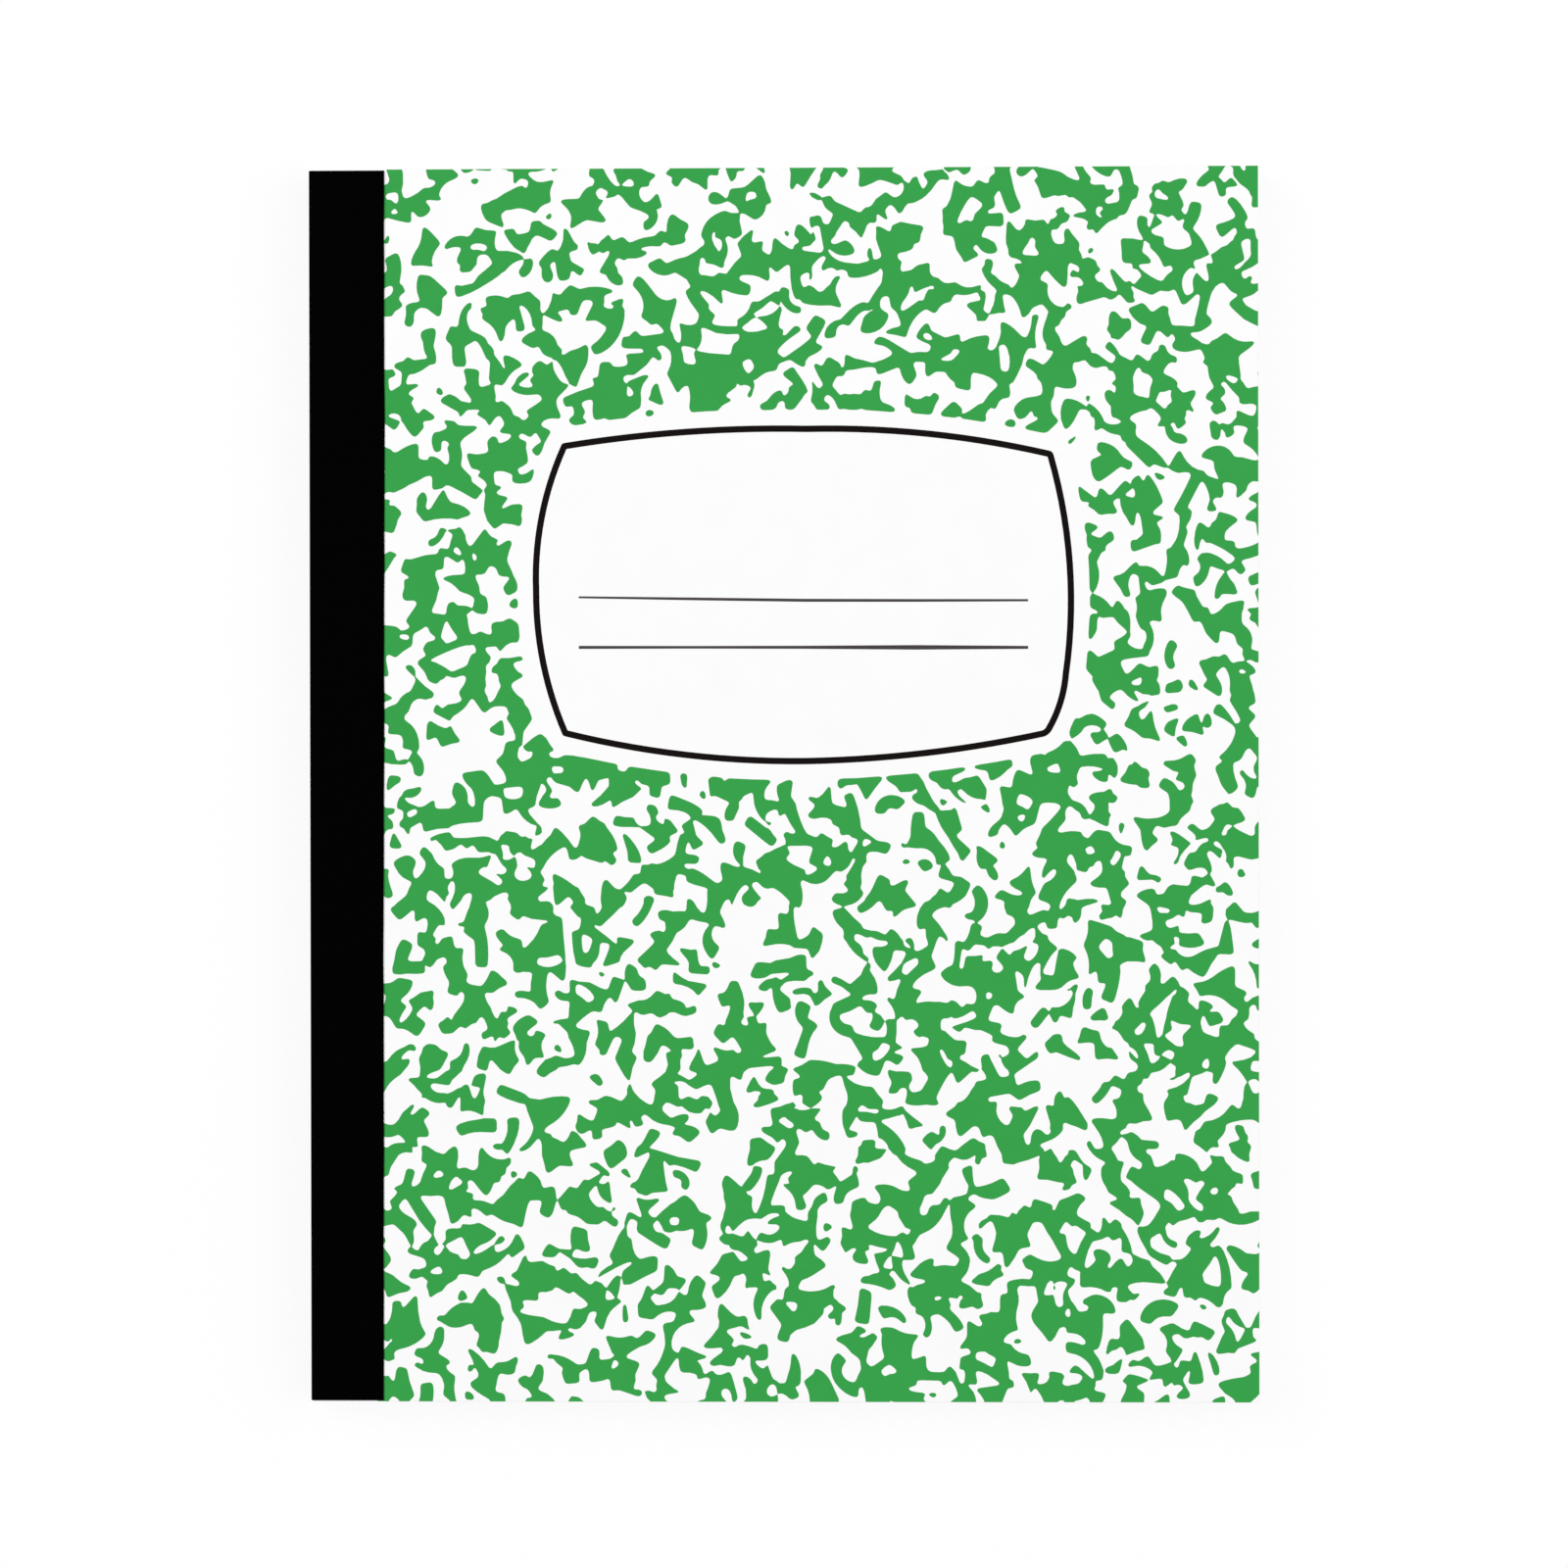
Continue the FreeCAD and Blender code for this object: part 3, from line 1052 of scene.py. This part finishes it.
@dataclass
class CoverBoard:
    """One cover: a stiff board with printed paper outside, a plain lining inside and bare cut edges.

    Where the board is thin, the softening of its edge and each of its papers take at most a share of it.
    """

    name: str
    node: str
    body: str
    marbling: Marbling
    label: Label | None = None
    turned_over: bool = False
    inner_face: float = TOTAL_THICKNESS - BOARD_THICKNESS
    seat_depth: float = TAPE_THICKNESS
    seat_slope: float = 0.02
    print_under_tape: float = 1.5
    spine_round: float = 0.8
    edge_softening: float = 0.08
    print_thickness: float = 0.16
    lining_thickness: float = 0.14
    most_softened: float = 0.3
    most_papered: float = 0.2
    print_merging: float = 1e-4
    lining_merging: float = 1e-5

    def profile(self) -> tuple[np.ndarray, np.ndarray]:
        """Section of the outer face across the board, half way from the tail to the head.

        Returns:
            Stations from the spine to the fore-edge, and the face's height over the inner one at each.
        """
        turns = np.radians([0, 15, 30, 50, 70, 90])
        seat = BOARD_THICKNESS - self.seat_depth
        round_x = FOLD_X + self.spine_round * (1 - np.cos(turns))
        round_z = seat - self.spine_round * (1 - np.sin(turns))
        x = [*round_x, SEAT_EDGE_X - self.seat_slope, SEAT_EDGE_X, FORE_EDGE_X]
        z = [*round_z, seat, BOARD_THICKNESS, BOARD_THICKNESS]
        return np.array(x), np.array(z)

    def lean(self, x: np.ndarray | float) -> np.ndarray:
        """How far a line of the section at x moves for each millimetre towards the head of the front."""
        return np.where(x > FOLD_X + 2 * self.spine_round, TAPE_SLANT, 0.0)

    def heights(self, points: np.ndarray) -> np.ndarray:
        """Height of the outer face over the inner one.

        Args:
            points: One row of x, y to a point of the face.

        Returns:
            The height at each point.
        """
        return np.interp(points[:, 0] - self.lean(points[:, 0]) * points[:, 1], *self.profile())

    def printed_face(self) -> tuple[np.ndarray, list[tuple[int, ...]], list[Print]]:
        """Divide the outer face into its printed areas.

        Returns:
            Corner points of the triangles, the triangles, and the print on each.
        """
        soft = self.edge_softening
        left, right, top = FOLD_X + soft, FORE_EDGE_X - soft, HALF_HEIGHT - soft
        outlines = [np.array([(left, -top), (right, -top), (right, top), (left, top)])]
        shapes, bare = [], None
        if self.label is not None:
            half = self.label.stroke / 2
            shapes = [self.label.outline(half), self.label.outline(-half), *self.label.lines()]
            bare = self.label.field()
        outlines += shapes + self.marbling.outlines(bare)
        points, faces = [], []
        for outline in outlines:
            ordered = outline if area_of(outline) > 0 else outline[::-1]
            faces.append(list(range(len(points), len(points) + len(ordered))))
            points += [Vector(point) for point in ordered.tolist()]
        edges = []
        print_end = SEAT_EDGE_X - self.print_under_tape
        for x in (*self.profile()[0][1:-1], print_end):
            if x > left:
                shift = float(self.lean(x)) * top
                edges.append((len(points), len(points) + 1))
                points += [Vector((x - shift, -top)), Vector((x + shift, top))]
        corners, _, cells, _, _, holders = delaunay_2d_cdt(points, edges, faces, 0, self.print_merging, True)
        flat = np.array([tuple(corner) for corner in corners])
        under_tape = flat[:, 0] - TAPE_SLANT * flat[:, 1] < print_end + self.seat_slope
        triangles, kinds = [], []
        first_loop = 1 + len(shapes)
        for cell, within in zip(cells, holders):
            if 0 in within:
                triangles.append(tuple(cell))
                bare_paper = all(under_tape[corner] for corner in cell)
                kinds.append(Print.WHITE if bare_paper else self.print_on(set(within), first_loop))
        used, numbers = np.unique(np.array(triangles), return_inverse=True)
        return flat[used], [tuple(cell) for cell in numbers.reshape(-1, 3).tolist()], kinds

    def print_on(self, within: set[int], first_loop: int) -> Print:
        """Find what is printed on a triangle.

        Args:
            within: Numbers of the outlines that hold it: the border is 0, the label's follow.
            first_loop: Number of the marbling's first outline.

        Returns:
            The print.
        """
        if self.label is not None and 1 in within:
            if any(number in within for number in range(3, first_loop)):
                return Print.GREY
            return Print.WHITE if 2 in within else Print.BLACK
        crossed = sum(1 for number in within if number >= first_loop)
        return Print.GREEN if crossed % 2 else Print.WHITE

    def build(self, finishes: Finishes) -> bpy.types.Object:
        """Build the board.

        Args:
            finishes: The notebook's materials.

        Returns:
            The piece, riding on its body in place of its CAD node.
        """
        flat, faces, kinds = self.printed_face()
        border, beside = self.border(faces, kinds)
        rings = self.rings(flat[border])
        points = np.concatenate([np.column_stack([flat, self.heights(flat)]), *rings])
        count = len(border)
        upper, first = border, len(flat)
        for band in (beside, *([kind] * count for kind in (Print.WHITE, Print.CORE, Print.LINING))):
            lower = range(first, first + count)
            for index in range(count):
                following = (index + 1) % count
                faces.append((upper[index], lower[index], lower[following], upper[following]))
            kinds += band
            upper, first = lower, first + count
        rim = [Vector(point) for point in rings[-1][:, :2].tolist()]
        sides = [(index, (index + 1) % count) for index in range(count)]
        _, _, cells, sources, _, _ = delaunay_2d_cdt(rim, sides, [], 1, self.lining_merging, True)
        faces += [tuple(upper[sources[corner][0]] for corner in reversed(cell)) for cell in cells]
        kinds += [Print.LINING] * len(cells)

        if self.turned_over:
            points[:, 1:] *= -1
        points[:, 2] += self.inner_face
        piece = make_piece(self.name, points, faces, [
            finishes.cover_white, finishes.cover_green, finishes.frame_black, finishes.line_grey,
            finishes.core, finishes.lining], kinds)
        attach(piece, self.body)
        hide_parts(self.node)
        return piece

    def rings(self, rim: np.ndarray) -> list[np.ndarray]:
        """Rings of points down the edge of the board, level by level.

        Args:
            rim: Border of the printed face, which lies within the edge by its softening.

        Returns:
            The rings under the softened edge, the printed paper, the core and the lining, each as rows
            of x, y, z.
        """
        soft = self.edge_softening
        on_border = 1.01 * soft  # Holds the border's own points and none of the pattern's.
        outer = rim.copy()
        outer[rim[:, 0] < FOLD_X + on_border, 0] = FOLD_X
        outer[rim[:, 0] > FORE_EDGE_X - on_border, 0] = FORE_EDGE_X
        outer[np.abs(rim[:, 1]) > HALF_HEIGHT - on_border, 1] *= HALF_HEIGHT / (HALF_HEIGHT - soft)
        wall = self.heights(outer)
        wall = wall - np.minimum(soft, self.most_softened * wall)
        paper, lining = (np.minimum(thickness / wall, self.most_papered)
                         for thickness in (self.print_thickness, self.lining_thickness))
        levels = (np.ones_like(wall), 1 - paper, lining, np.zeros_like(wall))
        return [np.column_stack([outer, wall * level]) for level in levels]

    @staticmethod
    def border(faces: list[tuple[int, ...]], kinds: list[Print]) -> tuple[list[int], list[Print]]:
        """Walk round the edge of the printed face.

        Args:
            faces: Its triangles, anticlockwise.
            kinds: The print on each.

        Returns:
            The points in order, and the print beside the edge that starts at each.
        """
        owner = {}
        for face, kind in zip(faces, kinds):
            for index in range(3):
                owner[face[index], face[(index + 1) % 3]] = kind
        following = {}
        for (start, end), kind in owner.items():
            if (end, start) not in owner:
                following[start] = (end, kind)
        here = next(iter(following))
        order, beside = [], []
        for _ in following:
            order.append(here)
            here, kind = following[here]
            beside.append(kind)
        return order, beside


class Ruling(Enum):
    """What is printed on a face of a leaf."""

    BARE = 0
    RULE = 1
    MARGIN = 2


@dataclass
class LeafBlock:
    """Fifty sheets folded once into a hundred leaves, pressed round the two runs of the thread.

    Heights in its section are taken from the middle of the block.
    """

    node: str = "page_block"
    body: str = "book_block"
    sheets: int = 50
    leaf_pitch: float = 0.085
    leaf_thickness: float = 0.073
    fold_round: float = 1.2
    inner_fold_round: float = 0.35
    flat_until: float = -88.9
    fold_from: float = -89.4
    fold_stations: int = 6
    thread_room: float = 0.33
    thread_reach: float = 1.1
    pressed_by_inner_run: int = 14
    groove_depth: float = 0.7
    groove_rim: float = 0.6
    groove_floor: float = 0.34
    groove_stations: tuple[float, ...] = (0.75, 0.6, 0.5, 0.42, 0.34, 0.15)
    least_grooved: float = 0.8
    pressed_by_outer_run: int = 20
    trim_spread: float = 0.035
    trim_inset: float = 0.05
    rule_pitch: float = 7.1
    rule_width: float = 0.25
    head_space: float = 31.0
    foot_space: float = 9.0
    margin: float = 31.75
    seed: int = 5

    def surface(self, depth: float, fore_edges: tuple[float, float]) -> np.ndarray:
        """Section of the surface of a folded sheet, from its upper fore-edge round to its lower one.

        Args:
            depth: How many leaves lie outside the surface.
            fore_edges: Where the upper and the lower leaf end.

        Returns:
            One row of x, z to a point.
        """
        half = (self.sheets - depth) * self.leaf_pitch
        bulge = self.thread_room * max(0.0, 1 - (self.sheets - depth) / self.pressed_by_inner_run)
        dent = self.groove_depth * max(0.0, 1 - depth / self.pressed_by_outer_run)
        seam_x = FOLD_X + self.sheets * self.leaf_pitch

        def height(x: float) -> float:
            """Half the thickness within the surface, which is more beside the thread's inner run."""
            share = min(abs(x - seam_x) / self.thread_reach, 1)
            return half + bulge * math.cos(0.5 * math.pi * share) ** 2

        fold = FOLD_X + depth * self.leaf_pitch - bulge
        corner = min(max(self.fold_round - depth * self.leaf_pitch, self.inner_fold_round), height(fold))
        flat_end = fold + corner
        straight = height(flat_end) - corner
        stations = [self.flat_until, *np.linspace(self.fold_from, flat_end, self.fold_stations)]
        spine_side = [(x, height(x)) for x in stations]
        spine_side += [(flat_end - corner * math.sin(turn), straight + corner * math.cos(turn))
                       for turn in np.radians([20, 45, 70, 90])]
        if straight > self.least_grooved:
            spine_side += [(fold + dent * self.pressed(z), z) for z in self.groove_stations]
        else:
            count = len(self.groove_stations) + 1
            spine_side += [(fold, straight * (1 - step / count)) for step in range(1, count)]

        upper, lower = [
            [(x, height(x)) for x in (fore_edge, mark + self.rule_width / 2, mark - self.rule_width / 2)]
            + spine_side
            for fore_edge, mark in zip(fore_edges, (FOLD_X + self.margin, FORE_EDGE_X - self.margin))]
        return np.array(upper + [(fold + dent, 0.0)] + [(x, -z) for x, z in reversed(lower)])

    def pressed(self, z: float) -> float:
        """Share of the groove's depth at a height from its middle."""
        share = min(max((self.groove_rim - z) / (self.groove_rim - self.groove_floor), 0), 1)
        return share * share * (3 - 2 * share)

    def rule_stations(self) -> tuple[list[float], list[bool]]:
        """Divide the height of a page by its rules.

        Returns:
            Stations from the tail to the head, and whether a rule lies after each.
        """
        rules = np.arange(HALF_HEIGHT - self.head_space, self.foot_space - HALF_HEIGHT, -self.rule_pitch)
        stations, ruled = [self.trim_inset - HALF_HEIGHT], []
        for rule in reversed(rules.tolist()):
            stations += [rule - self.rule_width / 2, rule + self.rule_width / 2]
            ruled += [False, True]
        return [*stations, HALF_HEIGHT - self.trim_inset], [*ruled, False]

    def printed_on(self, index: int, reach: int, has_rule: bool) -> Ruling:
        """Find what is printed on a face of the outermost sheet.

        Args:
            index: Number of the face round the section.
            reach: Number of points on the sheet's outer surface.
            has_rule: Whether a rule lies at this height.

        Returns:
            The print.
        """
        from_fore_edge = min(index, reach - 2 - index)
        if from_fore_edge == 1:
            return Ruling.MARGIN
        on_page = 0 <= from_fore_edge < 3 + self.fold_stations
        return Ruling.RULE if on_page and has_rule else Ruling.BARE

    def build(self, finishes: Finishes) -> bpy.types.Object:
        """Build the block.

        Args:
            finishes: The notebook's materials.

        Returns:
            The piece, riding on the block's body in place of its CAD node.
        """
        rng = np.random.default_rng(self.seed)
        points, faces, kinds = [], [], []
        page_stations, ruled = self.rule_stations()
        gap = (self.leaf_pitch - self.leaf_thickness) / 2 / self.leaf_pitch
        for sheet in range(self.sheets):
            trims = tuple(FORE_EDGE_X - self.trim_inset + rng.uniform(-1, 1, 2) * self.trim_spread)
            outer, inner = (self.surface(depth, trims) for depth in (sheet + gap, sheet + 1 - gap))
            section = np.concatenate([outer, inner[::-1]]) + (0, TOTAL_THICKNESS / 2)
            stations = page_stations if sheet == 0 else [page_stations[0], page_stations[-1]]
            tail, head = rng.uniform(-1, 1, 2) * self.trim_spread
            stations = [stations[0] + tail, *stations[1:-1], stations[-1] + head]
            first = sum(len(part) for part in points)
            sheet_points, sheet_faces = lofted([section] * len(stations), stations)
            points.append(sheet_points)
            faces += [tuple(first + corner for corner in face) for face in sheet_faces]
            prints = [Ruling.BARE] * len(sheet_faces)
            if sheet == 0:
                prints[:len(ruled) * len(section)] = [
                    self.printed_on(index, len(outer), has_rule)
                    for has_rule in ruled for index in range(len(section))]
            kinds += prints
        piece = make_piece("page_leaves", np.concatenate(points), faces, [
            finishes.leaf, finishes.rule_blue, finishes.margin_red], kinds)
        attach(piece, self.body)
        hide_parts(self.node)
        return piece


class TapeHalf(Enum):
    """The two halves of the tape, one to each board."""

    FRONT = 1
    REAR = -1


@dataclass
class SpineTape:
    """Strip of tape folded round the spine, in two halves that meet in the middle of the spine.

    A row of edge_profile is a distance from the flap's edge, and how far the outer face has come down
    there.
    """

    node: str = "spine_tape"
    block_body: str = "book_block"
    half_length: float = 123.3
    flap_edge: float = SEAT_EDGE_X - 0.28
    edge_profile: tuple[tuple[float, float], ...] = ((0.9, 0.0), (0.25, 0.0), (0.06, 0.03), (0.0, 0.1))
    edge_wander: float = 0.05
    edge_waves: tuple[float, ...] = (1.5, 3.7, 8.3, 17.0)
    outer_round: float = 0.9
    beside_round: tuple[float, ...] = (0.6, 0.3)
    flat_start: float = 1.5
    rows: int = 150
    bend_reach: float = 0.15
    sharp_angle: float = math.radians(40)
    seed: int = 9

    def section(self, flap_edge: float) -> np.ndarray:
        """Section of the upper half.

        Args:
            flap_edge: Where the flap ends.

        Returns:
            One row of x, z to a point, with z from the middle of the spine.
        """
        bend = TOTAL_THICKNESS / 2 - self.outer_round
        centre = SPINE_X + self.outer_round
        sides = []
        for depth in (0.0, TAPE_THICKNESS):
            radius = self.outer_round - depth
            side = [(centre - radius, z) for z in (0.0, *(bend - below for below in self.beside_round))]
            side += [(centre - radius * math.cos(turn), bend + radius * math.sin(turn))
                     for turn in np.radians([0, 18, 36, 54, 72, 90])]
            side.append((centre + self.flat_start, bend + radius))
            side += [(flap_edge - inset, bend + radius - (0 if depth else drop))
                     for inset, drop in self.edge_profile]
            sides.append(side)
        return np.array(sides[0] + sides[1][::-1])

    def build_half(self, half: TapeHalf, finish: bpy.types.Material) -> bpy.types.Object:
        """Build one half.

        Args:
            half: Which one.
            finish: The tape's material.

        Returns:
            The piece, which bends from the block to its board.
        """
        rng = np.random.default_rng(self.seed + half.value)
        y = np.linspace(-self.half_length, self.half_length, self.rows + 1)
        wander = np.zeros_like(y)
        for waves in self.edge_waves:
            wander += np.sin(waves * math.pi * y / self.half_length + rng.uniform(0, math.tau)) / waves ** 0.4
        leaned = self.flap_edge + self.edge_wander * wander + half.value * TAPE_SLANT * y
        sections = [self.section(edge) for edge in leaned]
        points, faces = lofted(sections, y)
        points[:, 2] = TOTAL_THICKNESS / 2 + half.value * points[:, 2]
        if half is TapeHalf.FRONT:
            faces = [face[::-1] for face in faces]
        piece = make_piece(f"spine_tape_{half.name.lower()}", points, faces, [finish])
        self.unroll(piece, sections[0], y)
        for polygon in piece.data.polygons:
            polygon.use_smooth = True
        piece.data.set_sharp_from_angle(angle=self.sharp_angle)
        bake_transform(piece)
        return piece

    @staticmethod
    def unroll(piece: bpy.types.Object, section: np.ndarray, y: np.ndarray) -> None:
        """Give the tape a UV map in millimetres, round its section and along the spine.

        Args:
            piece: The tape.
            section: Its section at one end.
            y: Place of each section.
        """
        round_it = np.concatenate([[0], np.cumsum(np.hypot(*np.diff(section, axis=0).T))])
        layer = piece.data.uv_layers.new(name="UVMap")
        for loop in piece.data.loops:
            row, index = divmod(loop.vertex_index, len(section))
            layer.data[loop.index].uv = (round_it[index], y[row])

    def build(self, finishes: Finishes) -> list[bpy.types.Object]:
        """Build both halves.

        Args:
            finishes: The notebook's materials.

        Returns:
            The two pieces, which stand for the CAD node together.
        """
        pieces = [self.build_half(half, finishes.tape) for half in TapeHalf]
        for piece in pieces:
            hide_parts(self.node)
        return pieces


@dataclass
class BindingThread:
    """The thread that sews the sheets through the fold. Its CAD solid stays."""

    node: str = "binding_thread"

    def dress(self, nodes: dict[str, bpy.types.Object], finishes: Finishes) -> bpy.types.Object:
        """Give the CAD solid its material.

        Args:
            nodes: The frame's CAD nodes.
            finishes: The notebook's materials.

        Returns:
            The CAD node.
        """
        thread = nodes[self.node]
        thread.data.materials.clear()
        thread.data.materials.append(finishes.thread)
        return thread


@dataclass(frozen=True)
class Lamp:
    """Broad square lamp that points at the notebook."""

    name: str
    place: tuple[float, float, float]
    power: float
    size: float = 1.6

    def hang(self) -> None:
        """Add the lamp to the scene."""
        data = bpy.data.lights.new(self.name, "AREA")
        data.shape = "SQUARE"
        data.size = self.size
        data.energy = self.power
        lamp = bpy.data.objects.new(self.name, data)
        lamp.location = self.place
        lamp.rotation_euler = (-Vector(self.place)).to_track_quat("-Z", "Y").to_euler()
        bpy.context.scene.collection.objects.link(lamp)


@dataclass
class Studio:
    """Pale floor, soft light from all round with two broad lamps, and a camera above.

    The camera's place and turn, in metres and degrees, are fitted to the notebook's outline in the photo.
    """

    floor_half: float = 4.0
    floor_drop: float = 0.00002
    floor_grey: float = 0.98
    floor_own_light: float = 0.88
    floor_fade: tuple[float, float] = (0.5, 1.3)
    sky_strength: float = 0.55
    lamps: tuple[Lamp, ...] = (Lamp("lamp_left", (-1.5, 0.9, 1.9), 25.875),
                               Lamp("lamp_right", (1.6, 0.3, 1.9), 19.125))
    lens: float = 135.0
    sensor_width: float = 36.0
    camera_sight: tuple[float, float] = (0.01, 100.0)
    camera_place: tuple[float, float, float] = (0.03315, 0.00716, 1.18694)
    camera_turn: tuple[float, float, float] = (-0.3395, 1.6052, -0.0988)

    def make_floor(self) -> None:
        """Lay the floor, which shows nearly white, keeps the notebook's shadow and ends in plain white."""
        half, grey = self.floor_half, self.floor_grey
        mesh = bpy.data.meshes.new("floor")
        mesh.from_pydata([(-half, -half, 0), (half, -half, 0), (half, half, 0), (-half, half, 0)], [],
                         [(0, 1, 2, 3)])
        floor = bpy.data.objects.new("floor", mesh)
        floor.location.z = -self.floor_drop
        bpy.context.scene.collection.objects.link(floor)
        nodes = NodeTree(bpy.data.materials.new("pale_floor"))
        diffuse = nodes.add("BsdfDiffuse", Color=(grey, grey, grey, 1.0))
        own = nodes.add("Emission", Color=(1.0, 1.0, 1.0, 1.0), Strength=1.0)
        away = nodes.add("VectorMath", {"operation": "LENGTH"}, Vector=nodes.place()).outputs["Value"]
        light = nodes.between(away, self.floor_own_light, 1.0, *self.floor_fade)
        mix = nodes.add("MixShader")
        nodes.put(mix, 0, nodes.calculated("MULTIPLY", nodes.shows_background(), light))
        nodes.put(mix, 1, diffuse.outputs["BSDF"])
        nodes.put(mix, 2, own.outputs["Emission"])
        nodes.put(nodes.tree.nodes["Material Output"], "Surface", mix.outputs["Shader"])
        mesh.materials.append(nodes.owner)

    def make_sky(self) -> None:
        """Light the scene evenly from all round, with white behind it."""
        world = bpy.data.worlds.new("soft_sky")
        bpy.context.scene.world = world
        nodes = NodeTree(world)
        background = nodes.tree.nodes["Background"]
        nodes.put(background, "Color", (1.0, 1.0, 1.0, 1.0))
        strength = nodes.between(nodes.shows_background(), self.sky_strength, 1.0, 0.0, 1.0)
        nodes.put(background, "Strength", strength)

    def make_camera(self) -> None:
        """Set the camera up over the notebook."""
        data = bpy.data.cameras.new("camera")
        data.lens = self.lens
        data.sensor_width = self.sensor_width
        data.clip_start, data.clip_end = self.camera_sight
        camera = bpy.data.objects.new("camera", data)
        camera.location = self.camera_place
        camera.rotation_euler = [math.radians(turn) for turn in self.camera_turn]
        bpy.context.scene.collection.objects.link(camera)
        bpy.context.scene.camera = camera

    def build(self) -> None:
        """Set up the whole studio."""
        bpy.context.scene.view_settings.view_transform = "Standard"
        self.make_camera()
        self.make_sky()
        for lamp in self.lamps:
            lamp.hang()
        self.make_floor()


def main() -> None:
    """Build the notebook round the frame, piece by piece."""
    logging.basicConfig(level=logging.INFO, format="%(message)s", stream=sys.stdout)
    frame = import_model()
    Studio().build()
    finishes = Finishes()
    covers = [
        CoverBoard("front_cover_marbled", "front_cover", "front_board", Marbling(seed=11), Label()),
        CoverBoard("rear_cover_marbled", "rear_cover", "rear_board", Marbling(seed=23),
                   turned_over=True, inner_face=BOARD_THICKNESS),
    ]
    pieces = [cover.build(finishes) for cover in covers]
    pieces.append(LeafBlock().build(finishes))
    pieces += SpineTape().build(finishes)
    pieces.append(BindingThread().dress(frame["nodes"], finishes))
    for piece in pieces:
        log.info("%s: %d vertices, %d faces", piece.name, len(piece.data.vertices), len(piece.data.polygons))


if __name__ == "__main__":
    main()
